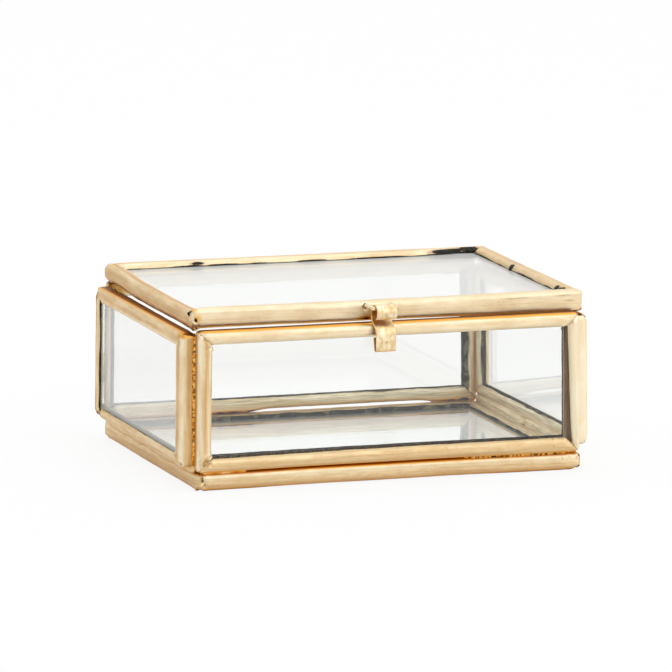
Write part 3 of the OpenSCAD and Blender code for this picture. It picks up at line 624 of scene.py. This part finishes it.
# s runs along each strip's own direction: the front of the lid runs to -X, its left side to +Y
LEG_1, LEG_2 = -HASP_X + STAPLE_X, -HASP_X - STAPLE_X
HASP_LEFT = HASP_X - HASP_W / 2
BROWN_LINING = (0.3, 0.5, 0)
SPECIAL = {
    ("lid", FAR): dict(
        lips=[(-27.3, 1.2, 0, 0.08, 1), (44, 4.5, 0.9, 0.25, 1), (36, 5, 0.3, 0.1, 1)],
        soot=[(-27.3, (4.4, 2.1), 2.2, 0.75, 1.5), (-29, (4.4, 2.1), 6, 0.5, 0.9),
              (46, (4.1, 2.2), 3.5, 1.7, 1.7), (39, (4.4, 2), 5, 0.9, 1.5)],
        grime_lip=(0.3, 0.5), painted_light=0.35),
    ("lid", RIGHT): dict(
        lips=[(-4.7, 0.8, -0.6, 0, 1), (26.4, 0.9, -0.7, 0, 1), (31.5, 1.8, 0.3, 1, 1)],
        soot=[(-4.7, (4.3, 2.2), 1.1, 1.2, 1.7), (26.4, (4.3, 2.2), 1.2, 1.2, 1.7),
              (30, (4.1, 2.2), 3, 0.8, 1.3), (-33, (3.6, 2.2), 2.5, 0.9, 1),
              (33.6, (1.6, 2.1), 0.5, 0.5, 0.42), (33.9, (3, 2), 0.4, 0.6, 0.6)],
        grime_lip=(0.26, 0.5), painted_light=0.12, facet_light_strength=0.2, cuts=((1, 0), (0, 2.3)), crumple=0.42,
        flare=(0, 0.5)),
    ("lid", LEFT): dict(
        lips=[(-32.4, 2, -1.5, 0.5, 1)], bow=lid_left_sag, wave=0.09, facet=0.02, crumple=0.3,
        pinch=(0.1, 0.05), edge_r=2, reach=(-0.7, 0), skew=(-1.1, 0), painted_light=-0.3,
        facet_light_strength=0.55, grime_lip=(0, 0.5), end_dirt=(0, 0.62), lining=BROWN_LINING),
    ("lid", NEAR): dict(
        dents=[(LEG_1, (0, 0.9), 0.7, 0.5, 1.1), (LEG_2, (0, 0.9), 0.5, 0.1, 0),
               (49.95, (0, -0.35), 0.75, 0.7, 1.6)],
        stains_and_shade=[(49.3, (0, 0.1), 1.4, 1.6, 0.42), (49.9, (0.7, 2.2), 1, 1.2, 0.45),
                # the hasp's painted shade, beside the hook
                (-HASP_LEFT + 0.3, (0, -1.8), 2, 0.9, 1)],
        soot=[(50.9, (0.6, 2), 0.42, 0.55, 1.7), (-33, (0, 1.3), 5, 0.26, 0.48),
              (-40, (0, 0.7), 4, 0.24, 0.5), (-45.5, (0.1, 1.4), 3, 0.32, 0.5),
              (-36.5, (0, -0.2), 3, 0.26, 0.46), (-47, (0, 0.1), 1.6, 0.35, 0.5),
              (-24, (0, 0.3), 2.2, 0.13, 0.42), (33, (0, 0.2), 1.8, 0.12, 0.42)],
        bow=lid_front_swell, facet=0.015, edge_r=1, cuts=((0, 0), (1, 0)),
        skew=(0, 1.1), painted_light=0.58, facet_light_strength=0.1, top_light=0.1, grime_lip=(0.05, 0.5),
        end_dirt=(0.2, 0), lining=BROWN_LINING),
    ("front", FAR): dict(crumple=0.26, reach=(-0.3, 0), painted_light=0.6, facet_light_strength=0.12, lining=BROWN_LINING),
    ("front", NEAR): dict(
        dents=[(47, (3.1, 2.1), 1.3, 0.3, 0.42)], bow=raised(0, -4, 32, 0.22),
        reach=(-0.15, 0.45), slant=-0.5, painted_light=-0.16, facet_light_strength=0.15, top_light=0.3, lining=(0.52, 0.1, 0)),
    ("front", LEFT): dict(
        dents=[(-14.9, (2.5, 2.1), 1.2, 0.35, 0.55), (-15.9, (1.9, 2.1), 0.9, 0.3, 0.5),
               (15.6, (1.6, 2.1), 0.7, 0.25, 0.2), (14.4, (2.6, 2.1), 0.8, -0.2, 0.1)],
        crumple=0.36, facet=0.06, flare=(0.3, 0), painted_light=0.05, facet_light_strength=0.9, end_dirt=(0.4, 0.2),
        lining=BROWN_LINING),
    ("front", RIGHT): dict(
        crumple=0.22, facet=0.07, reach=(-1.1, 0.25), slant=-1.1, painted_light=1, facet_light_strength=0.1,
        grime_lip=(0, 0.5), end_dirt=(0.2, 0.4), lining=(0.22, 0.58, 0)),
    ("rear", NEAR): dict(
        stains_and_shade=[(-18, (0.55, -1.85), 7.5, 0.55, 0.8), (43, (0.55, -1.85), 5, 0.6, 0.8)],
        soot=[(-12, (0.4, -1.7), 1, 0.38, 1.4), (-16.5, (0.4, -1.7), 1.4, 0.34, 1.3),
              (-20, (0.4, -1.7), 1, 0.42, 1.4), (39.5, (0.4, -1.7), 0.7, 0.35, 1.3),
              (42.5, (0.4, -1.7), 1.2, 0.42, 1.3), (46, (0.5, -1.8), 1.3, 0.6, 1.4)],
        bow=rear_slit, facet_light_strength=0.5),
    ("rear", FAR): dict(stains_and_shade=[(46, (1.5, -2), 4, 1.8, 0.42)], painted_light=0.7, aged=0),
    ("rear", LEFT): dict(grime_lip=(0.16, 1.7)),
    ("rear", RIGHT): dict(reach=(0, -1.5)),
    ("left", FAR): dict(
        # its brown place at the front end is painted shade under the lid
        stains_and_shade=[(33, (0.3, 0.8), 3, 1.7, 0.7)], bow=raised(1, 0, 60, 0.3), crumple=0.24,
        facet=0.06, cuts=((1, 0), (0.25, 1.6)), painted_light=-0.05, facet_light_strength=0.5,
        end_dirt=(0.62, 0), lining=BROWN_LINING),
    ("left", NEAR): dict(reach=(-1.3, -0.5), cuts=((1, 0), (0, 3.6)), facet_light_strength=0.4),
    ("left", LEFT): dict(reach=(-1.8, -1.2), grime_lip=(0.5, 0.7), lining=(0, 0, 1)),
    ("left", RIGHT): dict(
        dents=[(8, (1.9, 2.1), 0.9, 0.08, 0.42), (-14.4, (2.6, 2.1), 1.4, 0.4, 0.25)],
        # its brown place at the top is painted shade under the lid
        stains_and_shade=[(-16.2, (0.4, 1.2), 1, 1.8, 0.6)], crumple=0.36, facet=0.07,
        cuts=((0, 0.1), (0.5, 0)), flare=(0.6, 0.5), reach=(0.9, 0.3), painted_light=0.02, facet_light_strength=0.95,
        end_dirt=(0, 0.1), lining=BROWN_LINING),
    ("right", LEFT): dict(painted_light=1, facet_light_strength=0.1, tint=0.1),
    ("right", NEAR): dict(grime_lip=(0.16, 0.6), facet_light_strength=0.4),
    ("base", NEAR): dict(
        dents=[(49.6, (0, 1.2), 1, 0.3, 0.55), (48.9, (0, 0.3), 1.1, 0.4, 0.66),
               (48.1, (0, -0.7), 1.1, 0.35, 0.55), (-49.2, (0, 0.6), 1, 0.25, 0.3)],
        bow=raised(0, 0, 34, 0.28), wave=0.04, crumple=0.24, skew=(0, -0.6), painted_light=0.2,
        facet_light_strength=0.05, top_light=0.85, end_dirt=(0.1, 0.3), lining=(0.28, 0.5, 0)),
    ("base", LEFT): dict(
        crumple=0.24, skew=(0.8, 0), painted_light=-0.02, facet_light_strength=0.4, top_light=0.3, end_dirt=(0.3, 0.62),
        lining=(0.42, 0.5, 0)),
    ("base", FAR): dict(grime_lip=(0.16, 1.2)),
}
for frame_index, (frame_name, words) in enumerate(SIDE_WORDS.items()):
    for side, word in enumerate(words):
        strip(f"{frame_name}_{word}_strip", frame_name, side, 3 + frame_index * 4 + side,
              **SPECIAL.get((frame_name, side), {}))


# ---- panes
BEVEL, SHORT_PANE = 0.15, 1.15


def pane(frame_name):
    """A pane of old glass, a little wavy and with ground edges, in the channel of its strips."""
    o, x, y, n, sizes = frame_axes(frame_name)
    half_x, half_y = (size / 2 - SHEET - GLASS_GAP for size in sizes[:2])

    def lines(half, count):
        return np.r_[-half, -half + BEVEL, np.linspace(-half, half, count)[1:-1], half - BEVEL, half]

    gx, gy = lines(half_x, 26), lines(half_y, 18)
    if frame_name == "left":      # cut a little short, so that its rear edge shows past the lip
        gx = np.where(gx < 0, gx * (half_x - SHORT_PANE) / half_x, gx)
    X, Y = np.meshgrid(gx, gy, indexing="ij")
    ripple = 0.006 * rough_field(X / 19, Y / 19, 90 + len(frame_name), 2)
    border = (np.abs(X) > half_x - 0.01) | (np.abs(Y) > half_y - 0.01)
    thick = GLASS_T / 2 - 0.02 - BEVEL * border
    points, faces, size, cols = [], [], X.size, len(gy)
    for sign in (1, -1):
        p = o + x * X[..., None] + y * Y[..., None] + n * (sign * thick + ripple)[..., None]
        points.append(settle(frame_name, p).reshape(-1, 3))
    for layer, flip in ((0, False), (size, True)):
        for i in range(len(gx) - 1):
            for j in range(cols - 1):
                at = layer + i * cols + j
                quad = (at, at + cols, at + cols + 1, at + 1)
                faces.append(quad[::-1] if flip else quad)
    faces += [(i, i + size, j + size, j) for i, j in rim_pairs(len(gx), cols)]
    glass = {"lid": LID_GLASS, "left": DUSTY_GLASS}.get(frame_name, GLASS)
    make_mesh(f"{frame_name}_pane", np.concatenate(points), faces,
              "lid" if frame_name == "lid" else "box", [f"{frame_name}_glass"], glass,
              None, 30)


for frame_name in FRAMES:
    pane(frame_name)


# ---- solder
RING_LUMPS = 10      # from this spacing up, a run is a smooth dressed seam with the strips' brass
BEAD_OUT, BEAD_SPREAD = 0.4, 0.6
WALL_CORE = WALL_T / 2 - EDGE_R
CORNER_SHORT = 1.2      # how much shorter a corner's bead is than the side frame
REAR_SEAM_OUT = 1.2      # how much nearer the corner a rear seam lies than a front one
SIDE_SEAM_IN, SIDE_SEAM_LONGER = 0.3, 3.6      # longer than in the CAD, so that each pair meets


def bead_run(node, centre, direction, side, across, length, gap, seed, lumps, shade_and_stain, dirt_and_shade, painted_light,
             inner=0, out=0):
    """A lumpy run of solder between two strips whose edges' middles are gap apart. centre is
    the middle of its length, lumps their spacing, shade_and_stain how much painted orange shade
    it has, most between them, and dirt_and_shade how black it is between them, as painted shade,
    and in specks, painted_light how strong the painted highlight on them is, inner how dull, and
    out how far the run stands out."""
    radius = gap / 2 - EDGE_R + BEAD_SPREAD
    count, ring = max(int(length / 0.16), 24), 18
    a = np.linspace(-0.5, 0.5, count) * length
    A, T = np.meshgrid(a, round_angles(ring), indexing="ij")
    taper = np.sqrt(np.clip(1 - (np.abs(A) / (length / 2)) ** 10, 0, 1))
    wall_out = np.abs(np.array((direction[1], direction[0], 0)))      # nothing for an upright run
    centre = settle("front", np.array(centre, float)) + out * np.sign(centre) * wall_out
    phase = A / lumps + 0.38 * rough_field(A / (1.6 * lumps + 0.8), 0 * T, seed)
    swing = 0.6 + 0.5 * rough_field(A / (2.1 * lumps), 0 * T, seed + 2)
    wobble = np.clip(0.5 + 0.5 * swing * np.sin(2 * math.pi * phase), 0, 1)
    if lumps < 1:       # specks rather than lumps
        wobble = smooth(0.45 + 0.75 * rough_field(A / (0.5 * lumps), T * 0.35, seed + 6, 2))
    rough = 0.11 if lumps < RING_LUMPS else 0.03
    r = radius * (0.86 + 0.2 * wobble + rough * rough_field(A / 1.3, T * 0.8, seed + 4, 2)) * taper
    shift = 0.07 * rough_field(A / 5, 0 * T, seed + 9)
    direction, side, across = (np.array(d, float) for d in (direction, side, across))
    p = (centre + direction * A[..., None] + side * (r * np.cos(T) + shift)[..., None]
         + across * (r * np.sin(T))[..., None])
    faces = tube_faces(count, ring, np.dot(np.cross(direction, side), across) > 0)
    specks = smooth(rough_field(A / 1.2, T * 0.5, seed + 21, 2))
    fields = {
        "grime": (dirt_and_shade * (smooth((0.55 - wobble) * 1.6) + 0.6 * specks)).ravel(),
        "inner": (0 * A + inner).ravel(),
        "shade_and_stain": (shade_and_stain * (1 - 0.6 * wobble)).ravel(),
        "painted_light": (painted_light * wobble).ravel(),
        "along": np.stack([A, T, 0 * A + seed], -1).reshape(-1, 3),
    }
    make_mesh(node.replace("_solder", "_bead"), p.reshape(-1, 3), faces, "box", [node],
              SOLDER if lumps < RING_LUMPS else BRASS, fields, 80)


CORNER_LOOK = dict(lumps=0.9, shade_and_stain=0.95, dirt_and_shade=0.4, painted_light=0.9)
LONG_LOOK = dict(lumps=0.95, shade_and_stain=0.95, dirt_and_shade=0.8, painted_light=0.8)
SHORT_LOOK = dict(lumps=7, shade_and_stain=0.7, dirt_and_shade=0, painted_light=1.4)
SIDE_LOOKS = {"left": dict(lumps=11, shade_and_stain=0.3, dirt_and_shade=0, painted_light=0.2, out=-0.45),
              "right": dict(lumps=13, shade_and_stain=0.2, dirt_and_shade=0, painted_light=0.3, inner=0.8, out=0.15)}
SIGNS = {"left": -1, "right": 1, "front": -1, "rear": 1}
CORNERS = [(side, end) for side in ("left", "right") for end in ("front", "rear")]

for side_word, end_word in CORNERS:
    sx, sy = SIGNS[side_word], SIGNS[end_word]
    side_mid = np.array([sx * (SIDE_X - WALL_CORE), MID_Y + sy * (SIDE_D / 2 - EDGE_R)])
    front_mid = np.array([sx * (FRONT_W / 2 - EDGE_R), MID_Y + sy * (FRONT_Y - WALL_CORE)])
    gap = np.linalg.norm(front_mid - side_mid)
    out = np.array([sx, sy]) / math.sqrt(2)
    at = (side_mid + front_mid) / 2 + BEAD_OUT * out
    bead_run(f"corner_solder_{end_word}_{side_word}", (*at, WALL_MID), (0, 0, 1), (*out, 0),
             (-out[1], out[0], 0), SIDE_H - CORNER_SHORT, gap, 60 + sx + 2 * sy, **CORNER_LOOK)


def seam_run(node, wall_at, foot, base_at, under_side, sign, centre, length, seed, look):
    """Solder in the seam under a wall, in from the wall's face by the base frame's inset."""
    base_mid = np.array([base_at - EDGE_R, BASE_T - EDGE_R])
    wall_low = np.array([wall_at + WALL_CORE, foot + EDGE_R])
    gap = np.linalg.norm(wall_low - base_mid)
    side = np.array([base_mid[1] - wall_low[1], wall_low[0] - base_mid[0]]) / gap
    middle = (base_mid + wall_low) / 2 + BEAD_OUT * side
    if under_side:
        place, along, inward = (sign * middle[0], MID_Y + centre, middle[1]), (0, 1, 0), (1, 0, 0)
    else:
        place, along, inward = (centre, MID_Y + sign * middle[0], middle[1]), (1, 0, 0), (0, 1, 0)
    bead_run(node, place, along, inward, (0, 0, 1), length, gap, seed, **look)


for end_word in ("front", "rear"):
    for side_word in ("left", "right"):
        sx, sy = SIGNS[side_word], SIGNS[end_word]
        run, look = SEAM_RUN, SHORT_LOOK
        if (end_word, side_word) == ("front", "right"):
            run, look = SEAM_RUN_LONG, LONG_LOOK
        centre = sx * (FRONT_W / 2 - EDGE_R - run / 2 + (end_word == "rear") * REAR_SEAM_OUT)
        seam_run(f"{end_word}_seam_solder_{side_word}", FRONT_Y, WALL_Z, BASE_Y / 2, False, sy,
                 centre, run, 70 + sx + 2 * sy, look)
for side_word, end_word in CORNERS:
    sx, sy = SIGNS[side_word], SIGNS[end_word]
    centre = sy * (SIDE_D / 2 - EDGE_R - SEAM_RUN_SIDE / 2 - SIDE_SEAM_IN)
    seam_run(f"{side_word}_seam_solder_{end_word}", SIDE_X, SIDE_Z, BASE_X / 2, True, sx, centre,
             SEAM_RUN_SIDE + SIDE_SEAM_LONGER, 80 + sx + 2 * sy, SIDE_LOOKS[side_word])


# ---- tubes and wires
def ring_noise(at, angle, seed, size=1):
    return np.array([noise.noise((at, math.cos(q) * size + seed, math.sin(q) * size)) for q in angle])


def sweep(path, radius, ring, wobble, seed):
    """Points and faces of a round wire along a path of points, with rounded ends."""
    path = np.asarray(path, float)
    tangent = np.gradient(path, axis=0)
    tangent /= np.linalg.norm(tangent, axis=1)[:, None]
    side = np.cross(tangent[0], (0.31, 0.17, 0.93))
    rows = []
    radii = np.broadcast_to(radius, len(path))
    angle = round_angles(ring)
    for k, (p, d) in enumerate(zip(path, tangent)):
        side = side - d * np.dot(side, d)
        side /= np.linalg.norm(side)
        other = np.cross(d, side)
        r = radii[k] + wobble * ring_noise(k * 0.23, angle, seed, 0.8)
        rows.append(p + np.outer(r * np.cos(angle), side) + np.outer(r * np.sin(angle), other))
    return np.concatenate(rows), tube_faces(len(path), ring, True)


def plain_fields(points, seed, grime=0, shade_and_stain=0):
    """The attributes of a small piece that wears one look all over."""
    flat = np.ones(len(points))
    track = np.stack([points[:, 0], points[:, 1] + points[:, 2], flat * seed], 1)
    return {"grime": flat * grime, "inner": flat * 0, "shade_and_stain": flat * shade_and_stain, "painted_light": flat * 0.5,
            "along": track}


# ---- hinges
def hinge_tube(node, body, middle, seed):
    """A rolled brass tube with its open seam, and the solder saddle that holds it."""
    outer, hole, ring, half = KNUCKLE_R, PIN_R + PIN_FIT, 40, KNUCKLE_L / 2
    profile = [(-half, hole), (-half, outer - 0.14), (-half + 0.12, outer)]
    profile += [(x, outer) for x in np.linspace(-half + 0.5, half - 0.5, 7)]
    profile += [(half - 0.12, outer), (half, outer - 0.14), (half, hole)]
    angle = round_angles(ring)
    rows = []
    for x, r in profile:
        if r > hole:        # the outside is uneven and has the seam
            r = r + 0.03 * ring_noise(x * 0.7, angle, seed) - 0.13 * bell(angle - 2.2, 0.09)
        rows.append(np.stack([np.full(ring, middle + x), HINGE_Y + r * np.cos(angle),
                              HINGE_Z + r * np.sin(angle)], 1))
    points = np.concatenate(rows)
    faces = ring_faces(len(profile), ring, True)
    last = (len(profile) - 1) * ring
    faces += [(i, (i + 1) % ring, last + (i + 1) % ring, last + i) for i in range(ring)]
    fields = plain_fields(points, seed)
    fields["grime"] = 0.5 * smooth((half - 0.25 - np.abs(points[:, 0] - middle)) / -0.3)

    # saddle: a squat lump between the tube and the strip that carries it
    if body == "box":
        mid_y, mid_z, ry, rz = HINGE_Y - 0.35, (WALL_TOP - 0.3 + HINGE_Z) / 2 - 0.15, 1.05, 0.85
    else:
        mid_y, mid_z, ry, rz = (LID_REAR - 0.2 + HINGE_Y) / 2 - 0.05, HINGE_Z + 0.25, 0.72, 0.95
    rows, cols, lump = 26, 20, []
    for i in range(rows):
        x = i / (rows - 1) * 2 - 1
        span = math.sqrt(max(1 - abs(x) ** 5, 0))
        for j in range(cols):
            q = 2 * math.pi * j / cols
            bulge = 1 + 0.1 * noise.noise((x * 3, math.cos(q) + seed, math.sin(q)))
            wide = (0.92 + 0.1 * math.cos(2 * q)) * bulge * span
            lump.append((middle + x * (half - 0.1), mid_y + ry * wide * math.cos(q),
                         mid_z + rz * wide * math.sin(q)))
    lump = np.array(lump)
    faces += [tuple(len(points) + k for k in face) for face in tube_faces(rows, cols, True)]
    lump_fields = plain_fields(lump, seed, 0.12, 0.55)
    fields = {k: np.concatenate([fields[k], lump_fields[k]]) for k in fields}
    make_mesh(node.replace("_tube", "_knuckle"), np.concatenate([points, lump]), faces, body, [node],
              WIRE_BRASS, fields, 40)


def hinge_wire(node, middle, seed):
    """The wire through a hinge's three tubes, with its ends hammered to heads."""
    half = KNUCKLE_STEP + KNUCKLE_L / 2
    end = np.array([half, half + 0.05, half + 0.2, half + PIN_HEAD_T - 0.06, half + PIN_HEAD_T])
    xs = np.concatenate([-end[::-1], np.linspace(-half + 0.1, half - 0.1, 30), end])
    head = np.array([0.45, 0.78, PIN_HEAD_R, PIN_HEAD_R - 0.05, PIN_R])
    radii = np.concatenate([head, np.full(30, PIN_R), head[::-1]])
    path = np.stack([xs + middle, 0 * xs + HINGE_Y, 0 * xs + HINGE_Z], 1)
    points, faces = sweep(path, radii, 24, 0.03, seed)
    make_mesh(node.replace("_wire", "_pin"), points, faces, "box", [node], WIRE_BRASS,
              plain_fields(points, seed, 0.05, 0.15), 40)


for word in ("left", "right"):
    sign = SIGNS[word]
    middle = sign * HINGE_X
    hinge_tube(f"{word}_hinge_outer_tube", "box", middle + sign * KNUCKLE_STEP, 101 + sign)
    hinge_tube(f"{word}_hinge_lid_tube", "lid", middle, 111 + sign)
    hinge_tube(f"{word}_hinge_inner_tube", "box", middle - sign * KNUCKLE_STEP, 121 + sign)
    hinge_wire(f"{word}_hinge_wire", middle, 131 + sign)


# ---- staple
def staple():
    """The wire that carries the hasp: a leg, a bend, the bar, a bend and the other leg."""
    bar = STAPLE_X - STAPLE_BEND
    leg, turn = LID_FRONT + SHEET + GLASS_GAP - 0.3, PIVOT_Y + STAPLE_BEND

    def bend(sign, degrees):
        return [(HASP_X + sign * bar + sign * STAPLE_BEND * math.cos(q),
                 PIVOT_Y + STAPLE_BEND * (1 - math.sin(q)), PIVOT_Z) for q in np.radians(degrees)]

    path = [(HASP_X - STAPLE_X, y, PIVOT_Z) for y in np.linspace(leg, turn, 16)]
    path += bend(-1, np.linspace(0, 90, 10)[1:])
    path += [(x, PIVOT_Y, PIVOT_Z) for x in np.linspace(HASP_X - bar, HASP_X + bar, 18)[1:-1]]
    path += bend(1, np.linspace(90, 0, 10))
    path += [(HASP_X + STAPLE_X, y, PIVOT_Z) for y in np.linspace(turn, leg, 16)[1:]]
    points, faces = sweep(path, WIRE_R, 20, 0.035, 5)
    fields = plain_fields(points, 2)
    # darker where the left leg goes into the lid's strip
    fields["grime"] = 0.8 * bell(points[:, 1] - (LID_FRONT - 0.1), 0.5) * (points[:, 0] < HASP_X)
    make_mesh("staple_wire", points, faces, "lid", ["hasp_staple"], WIRE_BRASS, fields, 60)


staple()


# ---- hasp
def hasp_line():
    """Middle line of the hasp's sheet, forward and up from the middle of its roll."""
    def arc(centre, rx, ry, angles):
        return [(centre[0] + rx * math.cos(q), centre[1] + ry * math.sin(q)) for q in angles]

    mid = ROLL_R + HASP_T / 2
    slope, lean = math.radians(BOW_SLOPE), math.radians(TAIL_LEAN)
    bow_r = HASP_BOW / (2 * (1 - math.cos(slope)))
    points = arc((0, 0), mid, mid, np.radians(np.linspace(-ROLL_CLOSE, 176, 46)))
    points += [(-mid, y) for y in np.linspace(-0.15, -HASP_RISE, 7)]
    c1 = (-mid + bow_r, -HASP_RISE)
    points += arc(c1, -bow_r, -bow_r, np.linspace(0, slope, 10)[1:])
    c2 = (c1[0] - 2 * bow_r * math.cos(slope), c1[1] - 2 * bow_r * math.sin(slope))
    points += arc(c2, bow_r, bow_r, np.linspace(slope, 0, 10)[1:])
    c3 = (c2[0] + bow_r - FOLD_R, FOLD_R + HASP_T / 2 - HASP_DROP)
    points += [(c2[0] + bow_r, y) for y in np.linspace(c2[1], c3[1], 9)[1:]]
    points += arc(c3, FOLD_R, -FOLD_R, np.linspace(0, math.radians(180 - TAIL_LEAN), 14)[1:])
    last = points[-1]
    points += [(last[0] - k * math.sin(lean), last[1] + k * math.cos(lean))
               for k in np.linspace(0, TAIL_L, 9)[1:]]
    return np.array(points)


def hasp():
    """One strip of sheet: an open roll round the staple's bar, a bowed flap and a hook."""
    line = hasp_line()
    tangent = np.gradient(line, axis=0)
    tangent /= np.linalg.norm(tangent, axis=1)[:, None]
    normal = np.stack([tangent[:, 1], -tangent[:, 0]], 1)     # away from the middle of the roll
    length = np.r_[0, np.cumsum(np.hypot(*np.diff(line, axis=0).T))]
    edge = np.array([0, 0.05, 0.14, 0.3])
    across = np.concatenate([edge, np.linspace(0.55, HASP_W - 0.55, 20), HASP_W - edge[::-1]])
    L, A = np.meshgrid(length, across, indexing="ij")
    hammer = 0.07 * rough_field(L / 1.5, A / 1.5, 41, 2) + 0.03 * rough_field(L / 0.5, A / 0.5, 43)
    sag = 0.1 * rough_field(L / 5, A / 7, 44)
    from_edge = np.minimum(A, HASP_W - A)
    thin = HASP_T / 2 * (1 - 0.45 * (1 - smooth(from_edge / 0.16 + 0.02)))
    jag = 0.22 * rough_field(A / 0.55, 0 * A, 47, 2) * (L < 1.2) * (1 - L / 1.2)
    # a little narrower half way along than at its ends, and shifted left just below the roll
    fly = 0.1 * np.sin(L / length[-1] * math.pi) - 0.05
    askew = -0.45 * bell(L - 9, 3.2)
    x = HASP_LEFT + A + fly * (A / HASP_W * 2 - 1) * -1 + askew
    clear = smooth((L - 0.2) / 2)
    layers = []
    for sign in (1, -1):
        off = sign * thin + (hammer + sag) * 0.6 * np.where(sign > 0, 1, 0.5) * clear
        f, z = (line[:, None, k] + normal[:, None, k] * off + tangent[:, None, k] * jag
                for k in (0, 1))
        layers.append(np.stack([x, PIVOT_Y - f, PIVOT_Z - ROLL_HANG + z], -1).reshape(-1, 3))
    rows, cols = L.shape
    size = rows * cols
    faces = []
    for i in range(rows - 1):
        for j in range(cols - 1):
            at = i * cols + j
            quad = (at, at + 1, at + cols + 1, at + cols)
            faces += [quad, tuple(size + k for k in quad[::-1])]
    faces += [(i + size, j + size, j, i) for i, j in rim_pairs(rows, cols)]

    # layer 1 is the roll's outside and the flap's back, layer 2 its inside and the flap's front
    cut_end = np.exp(-L / 0.22) * 0.35
    # painted shadow of the roll on the flap just below it
    roll_shadow = 0.42 * bell(L - 10.2, 1.6) * (1 - 0.5 * smooth((A - 1) / 2.8))
    bright = 0.12 + 0.8 * rough_field(L / 1.1, A / 1.1, 49, 2)
    # painted shade inside the roll and on the front it hides, darkest inside the roll
    shaded = 1 - smooth((L - 8.3) / 1.4)     # the front as far as the roll hides it
    roll_inside_shade = shaded * (0.24 + 0.25 * rough_field(L / 0.9, A / 0.6, 52))
    # painted shade on the tail behind the fold and on the back above it, in the hook
    tail_shade = smooth((L - 17.6) / 0.8)       # the tail, behind the fold
    hook_shade = smooth((L - 11) / 3)      # the back, above the tail
    looks = {
        "grime": (cut_end + 0.36 * hook_shade, cut_end + roll_inside_shade),
        "inner": (0 * L, 0 * L),
        "shade_and_stain": (0.12 + 0.72 * hook_shade, np.maximum(0.76 * shaded, roll_shadow) + 0.6 * tail_shade),
        "painted_light": (bright * (1 - hook_shade), bright * (1 - shaded)),
    }
    fields = {key: np.concatenate(pair).ravel() for key, pair in looks.items()}
    fields["along"] = np.concatenate([np.stack([L, A, 0 * L + 3], -1)] * 2).reshape(-1, 3)
    make_mesh("hasp_flap", np.concatenate(layers), faces, "hasp", ["hasp"], HASP_BRASS,
              fields, 45)


hasp()

# ---- studio
scene = bpy.context.scene
scene.view_settings.view_transform = "Standard"
world = bpy.data.worlds.new("studio")
scene.world = world
world.use_nodes = True
n = Nodes(world.node_tree)
where = n.add("SeparateXYZ", Vector=n.add("TexCoord").outputs["Generated"]).outputs
rays = n.add("LightPath").outputs
# a little less light comes from the left, where no softbox stands, and all is bright behind
shade = n.math("ADD", n.times(where[0], 0.45), n.times(n.math("ABSOLUTE", where[1]), 0.22))
room = n.ramp(shade, -0.5, 0.3, 0.62, 0.97)
level = n.math("MAXIMUM", room, n.seen(rays))
n.add("OutputWorld", Surface=n.add("Background", Color=(1, 1, 1), Strength=level).outputs[0])


def softbox(name, place, size, power):
    lamp = bpy.data.lights.new(name, "AREA")
    lamp.shape, lamp.size, lamp.size_y, lamp.energy = "RECTANGLE", *size, power
    holder = new_object(name, lamp)
    holder.location = place
    holder.rotation_euler = (Vector((0, 0, 0.02)) - Vector(place)).to_track_quat("-Z", "Y").to_euler()


softbox("key_softbox", (0.9, -1.2, 0.9), (1.8, 1.8), 6)
softbox("top_softbox", (-0.1, 0.3, 1.4), (1.8, 1.8), 4.5)

# the table, in metres, a hair below the box so that their faces don't coincide
TABLE_HALF, TABLE_Z = 6, -0.0001
corners = [(sx * TABLE_HALF, sy * TABLE_HALF, 0) for sx, sy in ((-1, -1), (1, -1), (1, 1), (-1, 1))]
floor_mesh = bpy.data.meshes.new("table")
floor_mesh.from_pydata(corners, [], [(0, 1, 2, 3)])
floor = new_object("table", floor_mesh)
floor.location.z = TABLE_Z
material, n = new_material("white_table")
rays = n.add("LightPath").outputs
paper = n.add("BsdfDiffuse", Color=(0.9, 0.9, 0.9))
bright = n.add("Emission", Color=(1, 1, 1), Strength=1)
white = n.math("MAXIMUM", n.seen(rays), n.times(rays["Is Glossy Ray"], 0.2))
mixed = n.add("MixShader", Fac=n.times(white, 0.88), _1=paper.outputs[0], _2=bright.outputs[0])
n.add("OutputMaterial", Surface=mixed.outputs[0])
floor_mesh.materials.append(material)
